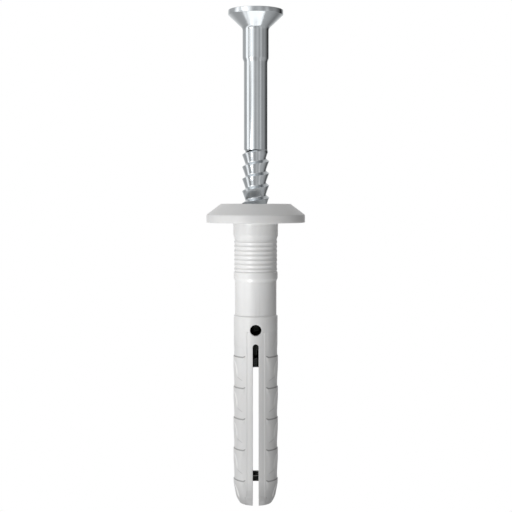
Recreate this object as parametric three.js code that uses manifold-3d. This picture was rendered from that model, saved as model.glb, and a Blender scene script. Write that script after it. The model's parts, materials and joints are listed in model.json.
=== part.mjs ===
// Hammer-in wall anchor for a 6 mm hole: a moulded nylon plug with a mushroom collar, and a
// zinc-plated nail screw that stands in its bore, ready to be driven home.
//
// Millimetres, +Z out of the wall. The origin is on the anchor's axis, in the plane where the
// collar's underside meets the wall. The plug's slot opens towards -Y and +Y.
//
// The plug is one moulding. It is made here as a sleeve and two expansion legs, divided where
// the nylon bends, so that the legs can swing outward as the screw is driven between them.

import * as THREE from 'three';
import { mergeVertices } from 'three/addons/utils/BufferGeometryUtils.js';
import Module from 'manifold-3d';

// ---------------------------------------------------------------- driving dimensions

// Plug: lengths along the axis, from the wall face inward
const PLUG_DEPTH = 37.3; // collar underside to the tip of the legs
const NECK_RING_LENGTH = 1.64; // plain ring under the collar
const NECK_RING_TAPER = 0.6;
const GROOVE_COUNT = 7;
const GROOVE_PITCH = 0.594;
const BAND_LENGTH = 0.94; // plain band under the grooves
const BAND_TAPER = 0.34;
const SHAFT_LENGTH = 4.53;
const PLAIN_ZONE_LENGTH = 2.0; // from the shoulder to the first panel
const FIRST_BARB_DROP = 3.44; // from the panels' top edge to the first barb
const BARB_PITCH = 4.1;
const TIP_LENGTH = 2.7; // tapered nose, of which the last part is rounded
const TIP_ROUND_LENGTH = 0.83;
const TIP_CHAMFER_LENGTH = 0.06;

// Plug: diameters
const COLLAR_DIAMETER = 13.0;
const COLLAR_TOP_DIAMETER = 9.18;
const COLLAR_HEIGHT = 2.48;
const COLLAR_RIM_HEIGHT = 1.03;
const COLLAR_FILLET = 0.35; // where the collar's underside meets the neck
const NECK_RING_DIAMETER = 5.88;
const RIDGE_DIAMETER = 5.68;
const GROOVE_DEPTH = 0.06;
const BAND_DIAMETER = 5.8;
const SHAFT_DIAMETER = 5.49;
const PLAIN_ZONE_DIAMETER = 5.8;
const PANEL_DIAMETER = 5.72;
const BARB_DIAMETER = 5.91;
const STRIP_RECESS = 0.05; // how far the smooth strips beside the slot lie below the panels
const TIP_DIAMETER = 5.2; // where the nose starts to round over
const TIP_ROUND_DIAMETER = 4.3;
const TIP_FACE_DIAMETER = 4.1;

// Plug: slot, cross hole and what lies beside them
const SLOT_WIDTH = 0.78;
const SLOT_START_DEPTH = 15.8; // wall face to the slot's rounded end
const STRIP_WIDTH = 2.34; // smooth strip that the slot runs down
const BARB_INSET = 0.41; // from a strip's edge to the end of each barb
const CROSS_HOLE_DIAMETER = 1.5;
const CROSS_HOLE_DEPTH = 14.0;
const WEB_HEIGHT = 1.31; // tear web across the slot, on its rear side
const WEB_TIP_DISTANCE = 2.32; // from the tip to the web's lower edge
const WEB_THICKNESS = 0.6;
const WEB_ROOT = 0.3; // how far the web runs into the leg's wall

// Nail screw
const SCREW_LENGTH = 46.82;
const HEAD_DIAMETER = 7.22;
const HEAD_RIM_HEIGHT = 0.62;
const HEAD_CONE_HEIGHT = 1.76; // countersunk part, from the rim to the shank
const COLLAR_SHANK_DIAMETER = 3.45; // thicker shank under the head
const COLLAR_SHANK_END = 6.25; // from the top of the head
const SHANK_TAPER = 0.48;
const SHANK_DIAMETER = 3.106;
const THREAD_START = 18.2; // from the top of the head
const THREAD_DIAMETER = 3.55;
const THREAD_ROOT_DIAMETER = 2.74;
const THREAD_LEAD = 1.59;
const THREAD_STEEP_FLANK = 0.33; // axial length of the flank that faces the head
const THREAD_ROOT_FLAT = 0.1;
const THREAD_RUN_OUT = 0.7;
const THREAD_TURN_OFFSET = -0.083; // lowers the thread by a part of a turn, to set where it starts
const SCREW_TIP_DIAMETER = 2.2;
const SCREW_TIP_CHAMFER = 0.5;
const RECESS_WIDTH = 3.9;
const RECESS_FLOOR_WIDTH = 1.7;
const RECESS_DEPTH = 2.0;
const RECESS_WING = 0.9;

// How the two fit and move
const DRIVE_TRAVEL = 25.27; // how far the screw stands out before it is driven home
const BORE_CLEARANCE = 0.055; // radial, thread crest to bore
const SEAT_CLEARANCE = 0.05; // screw head to the collar's countersink
const LEG_SPREAD_DEGREES = 3.0; // each leg's swing when the screw is home
const HINGE_GAP = 0.05; // cut between the sleeve and a leg
const WEB_GAP = 0.05; // tear line between the web and the leg that it parts from
const WEB_CLEARANCE = 0.1; // from the bore's wall to the web, so that the screw passes it

// Facets round a full circle, and steps along the bore of the legs
const FACETS = 32;
const THREAD_COLUMNS = 16;
const CHANNEL_STEPS = 8;

// ---------------------------------------------------------------- derived places

const half = (diameter) => diameter / 2;
const boreRadius = half(THREAD_DIAMETER) + BORE_CLEARANCE;
const headTopHeight = COLLAR_HEIGHT + DRIVE_TRAVEL;
const screwTipHeight = headTopHeight - SCREW_LENGTH;
const hingeHeight = -(SLOT_START_DEPTH + half(SLOT_WIDTH));
const tipStartHeight = -(PLUG_DEPTH - TIP_LENGTH);
const neckRingEnd = -NECK_RING_LENGTH;
const ridgesStart = neckRingEnd - NECK_RING_TAPER;
const ridgesEnd = ridgesStart - GROOVE_COUNT * GROOVE_PITCH;
const bandEnd = ridgesEnd - BAND_LENGTH;
const shaftStart = bandEnd - BAND_TAPER;
const shaftEnd = shaftStart - SHAFT_LENGTH;
const panelStart = shaftEnd - PLAIN_ZONE_LENGTH;
const headSlope = HEAD_CONE_HEIGHT / (half(HEAD_DIAMETER) - half(COLLAR_SHANK_DIAMETER));
const legSwing = THREE.MathUtils.degToRad(LEG_SPREAD_DEGREES);

// ---------------------------------------------------------------- solids

const wasm = await Module();
wasm.setup();

// A closed three.js geometry as a solid: equal corners become one, and the slivers that a
// profile leaves where it meets the axis are dropped.
function solid(geometry) {
  geometry.deleteAttribute('normal');
  geometry.deleteAttribute('uv');
  const merged = mergeVertices(geometry, 1e-4);
  const corners = [];
  for (let i = 0; i < merged.index.count; i += 3) {
    const [a, b, c] = [0, 1, 2].map((k) => merged.index.getX(i + k));
    if (a !== b && b !== c && c !== a) corners.push(a, b, c);
  }
  return new wasm.Manifold(
    new wasm.Mesh({
      numProp: 3,
      vertProperties: new Float32Array(merged.attributes.position.array),
      triVerts: new Uint32Array(corners),
    }),
  );
}

function mesh(name, body, material) {
  const { vertProperties, triVerts } = body.getMesh();
  const geometry = new THREE.BufferGeometry();
  geometry.setAttribute('position', new THREE.BufferAttribute(vertProperties, 3));
  geometry.setIndex(new THREE.BufferAttribute(triVerts, 1));
  geometry.computeVertexNormals();
  const result = new THREE.Mesh(geometry, material);
  result.name = name;
  return result;
}

// A profile of [radius, height] pairs, listed upward along its outside, turned about Z.
function turned(profile, facets = FACETS) {
  const points = profile.map(([radius, height]) => new THREE.Vector2(radius, height));
  return new THREE.LatheGeometry(points, facets).rotateX(Math.PI / 2);
}

function box(x0, x1, y0, y1, z0, z1) {
  const block = new THREE.BoxGeometry(x1 - x0, y1 - y0, z1 - z0);
  return block.translate((x0 + x1) / 2, (y0 + y1) / 2, (z0 + z1) / 2);
}

// ---------------------------------------------------------------- plug

// Points round the fillet between the neck and the collar's underside, upward.
function filletProfile(steps = 3) {
  const neck = half(NECK_RING_DIAMETER);
  const points = [];
  for (let i = 0; i <= steps; i += 1) {
    const turn = (i / steps) * (Math.PI / 2);
    points.push([
      neck + COLLAR_FILLET * (1 - Math.cos(turn)),
      -COLLAR_FILLET * (1 - Math.sin(turn)),
    ]);
  }
  return points;
}

// The grooved neck, upward: it starts and ends in the rounded dip of a groove.
function ridgeProfile(stepsPerGroove = 4) {
  const points = [];
  for (let i = 0; i < GROOVE_COUNT * stepsPerGroove; i += 1) {
    const dip = half(GROOVE_DEPTH) * (1 + Math.cos((2 * Math.PI * i) / stepsPerGroove));
    const height = ridgesEnd + (i / stepsPerGroove) * GROOVE_PITCH;
    points.push([half(RIDGE_DIAMETER) - dip, height]);
  }
  points.push([half(RIDGE_DIAMETER) - GROOVE_DEPTH, ridgesStart]);
  return points;
}

// The tapered and rounded nose that the legs end in, upward, up to where the barbs end.
function noseProfile(radius) {
  const tip = -PLUG_DEPTH;
  return [
    [0, tip],
    [half(TIP_FACE_DIAMETER), tip],
    [half(TIP_ROUND_DIAMETER), tip + TIP_CHAMFER_LENGTH],
    [half(TIP_DIAMETER), tip + TIP_ROUND_LENGTH],
    [radius, tipStartHeight],
  ];
}

// A plain round body of the plug's lower part, at one diameter from the nose to the panels' top.
function lowerBody(diameter) {
  const radius = half(diameter);
  return solid(turned([...noseProfile(radius), [radius, panelStart], [0, panelStart]]));
}

// The barbs: each is a cone that widens upward to a ledge that faces the collar.
function barbedBody() {
  const barb = half(BARB_DIAMETER);
  const panel = half(PANEL_DIAMETER);
  const profile = noseProfile(barb);
  const first = panelStart - FIRST_BARB_DROP;
  const count = Math.max(1, Math.floor((first - tipStartHeight) / BARB_PITCH + 1));
  for (let i = count - 1; i >= 0; i -= 1) {
    const ledge = first - i * BARB_PITCH;
    if (i < count - 1) profile.push([panel, ledge - BARB_PITCH]);
    profile.push([barb, ledge]);
  }
  profile.push([panel, first], [panel, panelStart], [0, panelStart]);
  return solid(turned(profile));
}

// The two sides of a body, left and right of a band that reaches `reach` either side of the slot.
function sidesBeyond(body, reach) {
  const deep = PLUG_DEPTH + 1;
  const wide = COLLAR_DIAMETER;
  return body.subtract(solid(box(-reach, reach, -wide, wide, -deep, 1)));
}

// The whole expansion zone as one round solid, before its bore and slot are cut.
function expansionBody() {
  const strip = half(STRIP_WIDTH);
  return lowerBody(PANEL_DIAMETER - 2 * STRIP_RECESS)
    .add(sidesBeyond(lowerBody(PANEL_DIAMETER), strip))
    .add(sidesBeyond(barbedBody(), strip + BARB_INSET));
}

// Collar, neck, shaft and plain zone, down to the panels.
function upperBody() {
  const plain = half(PLAIN_ZONE_DIAMETER);
  const shaft = half(SHAFT_DIAMETER);
  return solid(
    turned([
      [0, panelStart],
      [plain, panelStart],
      [plain, shaftEnd],
      [shaft, shaftEnd],
      [shaft, shaftStart],
      [half(BAND_DIAMETER), bandEnd],
      [half(BAND_DIAMETER), ridgesEnd],
      ...ridgeProfile(),
      [half(NECK_RING_DIAMETER), neckRingEnd],
      ...filletProfile(),
      [half(COLLAR_DIAMETER), 0],
      [half(COLLAR_DIAMETER), COLLAR_RIM_HEIGHT],
      [half(COLLAR_TOP_DIAMETER), COLLAR_HEIGHT],
      [0, COLLAR_HEIGHT],
    ]),
  );
}

// The straight bore, with the countersink that the screw's head seats in.
function sleeveBore() {
  const seat = half(HEAD_DIAMETER) + SEAT_CLEARANCE;
  const rimFloor = COLLAR_HEIGHT - HEAD_RIM_HEIGHT - SEAT_CLEARANCE;
  const over = COLLAR_HEIGHT + 1;
  return solid(
    turned([
      [0, -PLUG_DEPTH],
      [boreRadius, -PLUG_DEPTH],
      [boreRadius, rimFloor - (seat - boreRadius) * headSlope],
      [seat, rimFloor],
      [seat, over],
      [0, over],
    ]),
  );
}

// The slot, with its rounded upper end, right through the plug from front to back.
function slotCut() {
  const outline = new THREE.Shape();
  const reach = half(SLOT_WIDTH);
  outline.moveTo(-reach, -PLUG_DEPTH - 1);
  outline.lineTo(reach, -PLUG_DEPTH - 1);
  outline.lineTo(reach, hingeHeight);
  outline.absarc(0, hingeHeight, reach, 0, Math.PI, false);
  outline.closePath();
  const depth = COLLAR_DIAMETER;
  const cut = new THREE.ExtrudeGeometry(outline, { depth, bevelEnabled: false, curveSegments: 8 });
  return solid(cut.translate(0, 0, -depth / 2).rotateX(Math.PI / 2));
}

function crossHole() {
  const radius = half(CROSS_HOLE_DIAMETER);
  const pin = new THREE.CylinderGeometry(radius, radius, COLLAR_DIAMETER, 16);
  return solid(pin.translate(0, 0, -CROSS_HOLE_DEPTH));
}

// How far a leg has swung aside, at a depth below its hinge, when the screw's tip gets there.
function swingAt(depth) {
  const travel = depth - (hingeHeight - screwTipHeight);
  return travel <= 0 ? 0 : depth * Math.tan(legSwing) * (travel / DRIVE_TRAVEL);
}

// The bore between the legs. It leans in towards the slot by as much as the leg on that side
// swings out, so that the screw pushes the legs apart on its way to the tip.
function channelCut(side) {
  const profile = [[0, -PLUG_DEPTH - 1]];
  const length = PLUG_DEPTH + 1 + hingeHeight;
  for (let i = 0; i <= CHANNEL_STEPS; i += 1) {
    profile.push([boreRadius, -PLUG_DEPTH - 1 + (length * i) / CHANNEL_STEPS]);
  }
  profile.push([boreRadius, hingeHeight + 1], [0, hingeHeight + 1]);
  const channel = turned(profile);
  const place = channel.attributes.position;
  for (let i = 0; i < place.count; i += 1) {
    place.setX(i, place.getX(i) - side * swingAt(hingeHeight - place.getZ(i)));
  }
  return solid(channel);
}

function makeSleeve(body) {
  const wide = COLLAR_DIAMETER;
  const below = box(-wide, wide, -wide, wide, -PLUG_DEPTH - 1, hingeHeight + half(HINGE_GAP));
  return body.subtract(solid(below)).subtract(sleeveBore()).subtract(crossHole())
    .subtract(slotCut());
}

// One leg: the half of the expansion zone on `side` (-1 left, +1 right) of the slot.
function makeLeg(body, side) {
  const wide = COLLAR_DIAMETER;
  const top = hingeHeight - half(HINGE_GAP);
  const [x0, x1] = side < 0 ? [-wide, 0] : [0, wide];
  const keep = box(x0, x1, -wide, wide, -PLUG_DEPTH - 1, top);
  return body.intersect(solid(keep)).subtract(slotCut()).subtract(channelCut(side));
}

// The tear web spans the slot inside the rear wall, clear of the screw, and stays on the left leg.
function tearWeb(body) {
  const reach = half(SLOT_WIDTH);
  const bottom = -PLUG_DEPTH + WEB_TIP_DISTANCE;
  const front = boreRadius + WEB_CLEARANCE;
  const back = front + WEB_THICKNESS;
  const web = box(-reach - WEB_ROOT, reach - WEB_GAP, front, back, bottom, bottom + WEB_HEIGHT);
  return body.intersect(solid(web));
}

// ---------------------------------------------------------------- nail screw

// A rod with a single right-hand thread from `bottom` to `top`. Its corners stand in columns,
// each column one step round the axis and one step of the lead higher than the last, so that
// the last column meets the first one lead further up.
function threadedRod(bottom, top) {
  const rootRadius = half(THREAD_ROOT_DIAMETER);
  const tooth = [
    [half(THREAD_DIAMETER), 0],
    [rootRadius, THREAD_STEEP_FLANK],
    [rootRadius, THREAD_STEEP_FLANK + THREAD_ROOT_FLAT],
  ];
  const turns = Math.ceil((top - bottom) / THREAD_LEAD) + 2;
  const rows = turns * tooth.length;
  const start = bottom - THREAD_LEAD * (1 + THREAD_TURN_OFFSET);
  const places = [];
  for (let column = 0; column < THREAD_COLUMNS; column += 1) {
    const angle = (2 * Math.PI * column) / THREAD_COLUMNS;
    const lift = start + (THREAD_LEAD * column) / THREAD_COLUMNS;
    for (let row = 0; row < rows; row += 1) {
      const [radius, rise] = tooth[row % tooth.length];
      const height = lift + Math.floor(row / tooth.length) * THREAD_LEAD + rise;
      places.push(radius * Math.cos(angle), radius * Math.sin(angle), height);
    }
  }
  const corner = (column, row) =>
    column < THREAD_COLUMNS ? column * rows + row : row + tooth.length;
  const lastRow = (column) => rows - 1 - (column === THREAD_COLUMNS ? tooth.length : 0);
  const faces = [];
  for (let column = 0; column < THREAD_COLUMNS; column += 1) {
    for (let row = 0; row < lastRow(column + 1); row += 1) {
      const [a, b] = [corner(column, row), corner(column + 1, row)];
      const [c, d] = [corner(column + 1, row + 1), corner(column, row + 1)];
      faces.push(a, b, c, a, c, d);
    }
  }
  // Each end is closed by a fan to a point on the axis.
  const under = places.length / 3;
  places.push(0, 0, start - THREAD_LEAD, 0, 0, start + (turns + 1) * THREAD_LEAD);
  const rimBelow = [];
  const rimAbove = [];
  for (let column = 0; column < THREAD_COLUMNS; column += 1) {
    rimBelow.push(corner(column, 0));
    rimAbove.push(corner(column, rows - 1));
  }
  for (let row = 0; row < tooth.length; row += 1) {
    rimBelow.push(corner(THREAD_COLUMNS, -row));
    rimAbove.push(corner(THREAD_COLUMNS - 1, rows - 2 - row));
  }
  rimBelow.forEach((from, i) => faces.push(under, rimBelow[(i + 1) % rimBelow.length], from));
  rimAbove.forEach((from, i) => faces.push(under + 1, from, rimAbove[(i + 1) % rimAbove.length]));
  const rod = new THREE.BufferGeometry();
  rod.setAttribute('position', new THREE.BufferAttribute(new Float32Array(places), 3));
  rod.setIndex(faces);
  return solid(rod);
}

// The room that the thread fills: a blunt tip below and a run-out into the shank above.
function threadEnvelope(threadTop) {
  const crest = half(THREAD_DIAMETER);
  return solid(
    turned([
      [0, screwTipHeight],
      [half(SCREW_TIP_DIAMETER), screwTipHeight],
      [crest, screwTipHeight + SCREW_TIP_CHAMFER],
      [crest, threadTop - THREAD_RUN_OUT],
      [half(SHANK_DIAMETER), threadTop],
      [0, threadTop],
    ]),
  );
}

function screwShank(threadTop) {
  const headRadius = half(HEAD_DIAMETER);
  const thick = half(COLLAR_SHANK_DIAMETER);
  const thin = half(SHANK_DIAMETER);
  const rimFoot = headTopHeight - HEAD_RIM_HEIGHT;
  const step = headTopHeight - COLLAR_SHANK_END;
  return solid(
    turned([
      [0, threadTop - 0.1],
      [thin, threadTop - 0.1],
      [thin, step - SHANK_TAPER],
      [thick, step],
      [thick, rimFoot - HEAD_CONE_HEIGHT],
      [headRadius, rimFoot],
      [headRadius, headTopHeight],
      [0, headTopHeight],
    ]),
  );
}

// The cross recess: two tapered wings that meet on the axis.
function crossRecess() {
  const outline = new THREE.Shape();
  const over = 0.5;
  outline.moveTo(-half(RECESS_FLOOR_WIDTH), -RECESS_DEPTH);
  outline.lineTo(half(RECESS_FLOOR_WIDTH), -RECESS_DEPTH);
  outline.lineTo(half(RECESS_WIDTH), 0);
  outline.lineTo(half(RECESS_WIDTH), over);
  outline.lineTo(-half(RECESS_WIDTH), over);
  outline.lineTo(-half(RECESS_WIDTH), 0);
  outline.closePath();
  const wing = new THREE.ExtrudeGeometry(outline, { depth: RECESS_WING, bevelEnabled: false });
  wing.translate(0, 0, -half(RECESS_WING)).rotateX(Math.PI / 2).translate(0, 0, headTopHeight);
  const turnedWing = wing.clone().rotateZ(Math.PI / 2);
  return solid(wing).add(solid(turnedWing));
}

function makeScrew() {
  const threadTop = headTopHeight - THREAD_START;
  return threadedRod(screwTipHeight, threadTop)
    .intersect(threadEnvelope(threadTop))
    .add(screwShank(threadTop))
    .subtract(crossRecess());
}

// ---------------------------------------------------------------- assembly

const nylon = new THREE.MeshStandardMaterial({ color: 0xd4d4d2, roughness: 0.55, metalness: 0 });
const zinc = new THREE.MeshStandardMaterial({ color: 0xc3c8ce, roughness: 0.28, metalness: 1 });

const plugBody = upperBody().add(expansionBody());

const group = new THREE.Group();
group.add(
  mesh('plug_sleeve', makeSleeve(plugBody), nylon),
  mesh('expansion_leg_left', makeLeg(plugBody, -1).add(tearWeb(plugBody)), nylon),
  mesh('expansion_leg_right', makeLeg(plugBody, 1), nylon),
  mesh('nail_screw', makeScrew(), zinc),
);

export default group;
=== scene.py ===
import json
import math

import bmesh
import bpy
from mathutils import Matrix, Vector


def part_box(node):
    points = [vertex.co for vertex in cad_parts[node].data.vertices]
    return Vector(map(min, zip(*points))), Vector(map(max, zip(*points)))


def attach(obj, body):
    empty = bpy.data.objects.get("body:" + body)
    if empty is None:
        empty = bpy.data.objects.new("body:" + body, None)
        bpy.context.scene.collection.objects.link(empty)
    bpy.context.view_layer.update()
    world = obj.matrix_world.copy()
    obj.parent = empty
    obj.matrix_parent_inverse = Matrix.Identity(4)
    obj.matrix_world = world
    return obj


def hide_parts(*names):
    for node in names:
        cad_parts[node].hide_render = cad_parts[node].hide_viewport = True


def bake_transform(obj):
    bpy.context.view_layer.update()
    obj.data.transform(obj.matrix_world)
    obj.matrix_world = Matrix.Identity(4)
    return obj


bl_info = {
    "name": "Hammer-in wall anchor",
    "version": (1, 0, 0),
    "blender": (4, 5, 0),
    "location": "3D View > Sidebar > Anchor",
    "description": "Models a nylon wall plug and its nail screw round their working frame",
    "category": "Object",
}

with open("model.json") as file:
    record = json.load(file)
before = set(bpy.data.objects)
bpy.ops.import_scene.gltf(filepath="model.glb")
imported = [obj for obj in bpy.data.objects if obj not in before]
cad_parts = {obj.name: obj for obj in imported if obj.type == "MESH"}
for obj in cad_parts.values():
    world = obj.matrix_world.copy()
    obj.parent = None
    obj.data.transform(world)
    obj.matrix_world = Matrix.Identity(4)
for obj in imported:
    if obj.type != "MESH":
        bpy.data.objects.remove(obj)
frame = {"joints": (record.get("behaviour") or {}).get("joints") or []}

MM = 0.001
SLEEVE_LOW, SLEEVE_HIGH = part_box("plug_sleeve")
LEG_LOW, LEG_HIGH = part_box("expansion_leg_right")
SCREW_LOW, SCREW_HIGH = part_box("nail_screw")
HINGE_HEIGHT = (SLEEVE_LOW.z + LEG_HIGH.z) / 2  # where the sleeve ends and the legs start
SHARP_ANGLE = math.radians(32)  # edges that turn more than this stay sharp

# Each barb has a shallow flat at its side, and its front part ends in a slanted step. The angles
# are from the leg's side towards the slot, and the drops are below the barb's ledge.
FLAT_MIDDLE, FLAT_HALF = math.radians(15), math.radians(18)
FLAT_DROP, FLAT_GROWTH = 0.45 * MM, 0.6 * MM  # where the flat starts, and how soon it widens
STEP_ANGLE, STEP_DROP = math.radians(33), 2.55 * MM  # where the step starts
STEP_SLANT = 0.5 * MM / math.radians(24)  # how much lower it is, per radian


# ---------------------------------------------------------------- sizes and finishes


def length(name, description, default):
    """A length property, given in millimetres."""
    return bpy.props.FloatProperty(
        name=name, description=description, default=default * MM, unit="LENGTH", precision=5
    )


def share(name, description, default):
    return bpy.props.FloatProperty(
        name=name, description=description, default=default, min=0, max=1, subtype="FACTOR"
    )


def number(name, description, default):
    return bpy.props.FloatProperty(name=name, description=description, default=default)


def count(name, description, default):
    return bpy.props.IntProperty(name=name, description=description, default=default, min=1)


def tint(name, description, default):
    return bpy.props.FloatVectorProperty(
        name=name, description=description, default=default, size=4, subtype="COLOR"
    )


class CollarSizes(bpy.types.PropertyGroup):
    radius: length("Radius", "Collar rim, from the axis", SLEEVE_HIGH.x / MM)
    height: length("Height", "From the wall face to the collar's flat top", SLEEVE_HIGH.z / MM)
    rim_height: length("Rim height", "Straight part of the rim", 1.03)
    top_radius: length("Top radius", "Flat top, from the axis", 4.59)
    rounding: length("Rounding", "Setback of the collar's rounded corners", 0.1)
    fillet: length("Fillet", "Between the neck and the collar's underside", 0.35)
    seat_radius: length("Seat radius", "Mouth of the countersink", 3.66)
    seat_depth: length("Seat depth", "Straight part of the countersink", 0.67)
    seat_cone: length("Seat cone", "Height of the tapered part of the countersink", 1.71)
    bore_radius: length("Bore radius", "Bore that the screw runs in", 1.83)


class NeckSizes(bpy.types.PropertyGroup):
    ring_radius: length("Ring radius", "Plain ring under the collar", 2.94)
    ring_length: length("Ring length", "Plain ring under the collar", 1.64)
    ring_taper: length("Ring taper", "Cone from the ring to the ridges", 0.6)
    ridge_radius: length("Ridge radius", "Crest of each ridge", 2.845)
    groove_depth: length("Groove depth", "From crest to groove", 0.065)
    groove_pitch: length("Groove pitch", "From groove to groove", 0.594)
    groove_count: count("Groove count", "Grooves round the neck", 7)
    band_radius: length("Band radius", "Plain band under the grooves", 2.9)
    band_length: length("Band length", "Plain band under the grooves", 0.94)
    band_taper: length("Band taper", "Cone from the band to the shaft", 0.34)
    shaft_radius: length("Shaft radius", "Plain shaft", 2.745)
    shaft_length: length("Shaft length", "Plain shaft", 4.53)


class LegSizes(bpy.types.PropertyGroup):
    plain_radius: length("Plain radius", "Plain zone above the panels", 2.9)
    plain_length: length("Plain length", "Plain zone above the panels", 2.0)
    panel_radius: length("Panel radius", "Panels between the barbs", 2.86)
    strip_half: length("Strip half width", "Smooth strip beside the slot", 1.08)
    strip_recess: length("Strip recess", "Strip below the panels", 0.05)
    strip_slope: length("Strip slope", "Width of the step beside the strip", 0.14)
    barb_radius: length("Barb radius", "Outer edge of each barb", 2.955)
    barb_drop: length("First barb", "From the panels' top edge to the first barb", 3.44)
    barb_pitch: length("Barb pitch", "From barb to barb", 4.1)
    barb_count: count("Barb count", "Barbs down each leg", 5)
    barb_inset: length("Barb inset", "From the strip to where a barb starts", 0.3)
    ledge_height: length("Ledge height", "Height of the slope above each barb's edge", 0.15)
    barb_hook: length("Barb hook", "How far a barb's end curls up", 0.16)
    strip_end: length("Strip end", "Tip to the strips' lower end", 1.25)
    slot_half: length("Slot half width", "Half of the slot", 0.39)
    slot_corner: length("Slot corner", "Rounding of the slot's long edges", 0.05)
    hole_radius: length("Hole radius", "Cross hole above the slot", 0.75)
    hole_depth: length("Hole depth", "Wall face to the cross hole", 14.0)
    hole_lip: length("Hole lip", "Softened edge of the hole and the slot's end", 0.05)
    nose_length: length("Nose length", "Tapered nose", 2.7)
    nose_radius: length("Nose radius", "Where the nose's steeper end starts", 2.6)
    nose_end: length("Nose end", "Height of the steeper end", 0.83)
    tip_radius: length("Tip radius", "Flat end face", 2.12)
    tip_rounding: length("Tip rounding", "Rounding of the nose's edges", 0.12)
    web_height: length("Web height", "Tear web across the slot", 1.31)
    web_rise: length("Web rise", "Tip to the web's lower edge", 2.32)
    web_depth: length("Web depth", "Axis to the web's front", 1.93)
    web_thickness: length("Web thickness", "Tear web, front to back", 0.6)


class ScrewSizes(bpy.types.PropertyGroup):
    head_radius: length("Head radius", "Screw head", SCREW_HIGH.x / MM)
    rim_height: length("Rim height", "Straight edge of the head", 0.62)
    cone_height: length("Cone height", "Countersunk part of the head", 1.76)
    neck_radius: length("Neck radius", "Thicker shank under the head", 1.725)
    neck_end: length("Neck end", "Top of the head to the end of the thicker shank", 6.25)
    neck_taper: length("Neck taper", "Cone between the two shanks", 0.48)
    shank_radius: length("Shank radius", "Shank above the thread", 1.553)
    thread_start: length("Thread start", "Top of the head to the thread", 18.2)
    crest_radius: length("Crest radius", "Outer edge of the thread", 1.79)
    root_radius: length("Root radius", "Core of the thread", 1.37)
    lead: length("Lead", "Advance of the thread in one turn", 1.59)
    steep_flank: length("Steep flank", "Height of the flank that faces the head", 0.33)
    root_flat: length("Root flat", "Straight core between two teeth", 0.1)
    turn_offset: number("Turn offset", "Part of a turn that the thread is shifted by", -0.083)
    tip_radius: length("Tip radius", "Blunt end of the screw", 1.1)
    tip_chamfer: length("Tip chamfer", "Height of the chamfer at the end", 0.5)
    recess_half: length("Recess half width", "Cross recess at the top of the head", 1.95)
    recess_floor: length("Recess floor", "Half width at the recess's floor", 0.85)
    recess_wing: length("Recess wing", "Thickness of each wing of the recess", 0.9)
    recess_depth: length("Recess depth", "Depth of the cross recess", 2.0)


class NylonFinish(bpy.types.PropertyGroup):
    colour: tint("Colour", "Moulded nylon", (0.74, 0.74, 0.735, 1))
    shade: tint("Shade", "Cloudier nylon between the flow lines", (0.69, 0.69, 0.69, 1))
    # Painted highlight: this light tint paints the pale line along each barb's side flat.
    edge: tint("Edge", "Nylon on rubbed edges", (0.93, 0.93, 0.92, 1))
    # Painted shade: this tint darkens the nylon towards the tip, where less light falls.
    nose: tint("Nose", "Duller nylon at the tip", (0.5, 0.5, 0.5, 1))
    # Painted shade: this tint darkens tight inside corners and the barbs' ledges and steps.
    crease_shade: tint("Crease", "Nylon in tight inside corners", (0.27, 0.27, 0.27, 1))
    # Painted shade: this tint darkens the sheltered inside of the slot, the cross hole and the tear
    # web.
    dark: tint("Dark", "Inside of the slot and the cross hole", (0.02, 0.02, 0.02, 1))
    reach: length("Reach", "How far away a wall still shelters the surface", 1.5)
    roughness: share("Roughness", "Mean roughness", 0.34)
    grain: length("Grain", "Size of the mould's spark-eroded grain", 0.09)
    grain_depth: length("Grain depth", "Height of that grain", 0.003)
    groove_shading: length("Groove shading", "Extra depth that the neck's grooves seem to have", 0.07)


class ZincFinish(bpy.types.PropertyGroup):
    colour: tint("Colour", "Bright zinc plating", (0.785, 0.825, 0.85, 1))
    # Used both for random plating clouds and as painted shade in the thread's roots.
    shade: tint("Shade", "Greyer plating in the thread's roots", (0.5, 0.52, 0.55, 1))
    # Painted shade: this tint darkens plating sheltered inside the plug.
    dark: tint("Dark", "Plating that shows through the plug's openings", (0.02, 0.022, 0.02, 1))
    reach: length("Reach", "How far away a wall still shelters the surface", 1.5)
    roughness: share("Roughness", "Mean roughness", 0.17)
    grain: length("Grain", "Size of the plating's grain", 0.12)
    grain_depth: length("Grain depth", "Height of that grain", 0.004)


class StudioSettings(bpy.types.PropertyGroup):
    lens: number("Lens", "Focal length in mm on a 36 mm sensor", 78.98)
    distance: length("Distance", "Camera to the anchor's axis", 148.3)
    eye_height: length("Eye height", "Camera above the wall face", 2.98)
    aim_down: bpy.props.FloatProperty(
        name="Aim down", description="Tilt of the camera", default=0.04983, subtype="ANGLE"
    )
    aside: length("Aside", "Camera to the right of the axis", 0.04)
    floor_depth: length("Floor depth", "Tip to the light table", 120)
    floor_radius: length("Floor radius", "Light table that the anchor hangs over", 80)
    floor_glow: number("Floor glow", "Brightness of the light table", 1.4)
    neck_power: number("Neck power", "Narrow light from the lower left on the neck, in watts", 1.8)
    key_power: number("Key power", "Soft light from the left, in watts", 0.0155)
    low_power: number("Low power", "Soft light from the lower left, in watts", 0.0045)
    top_power: number("Top power", "Soft light from the upper left, in watts", 0.007)


# ---------------------------------------------------------------- mesh work


def smooth_but_sharp_edges(bm):
    for face in bm.faces:
        face.smooth = True
    for edge in bm.edges:
        edge.smooth = edge.is_manifold and edge.calc_face_angle(0) < SHARP_ANGLE


def new_piece(name, bm, material):
    """Makes a piece of the finished bmesh, smooth but for its sharp edges."""
    smooth_but_sharp_edges(bm)
    mesh = bpy.data.meshes.new(name)
    bm.to_mesh(mesh)
    bm.free()
    if material:
        mesh.materials.append(material)
    piece = bpy.data.objects.new(name, mesh)
    bpy.context.scene.collection.objects.link(piece)
    return piece


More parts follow.
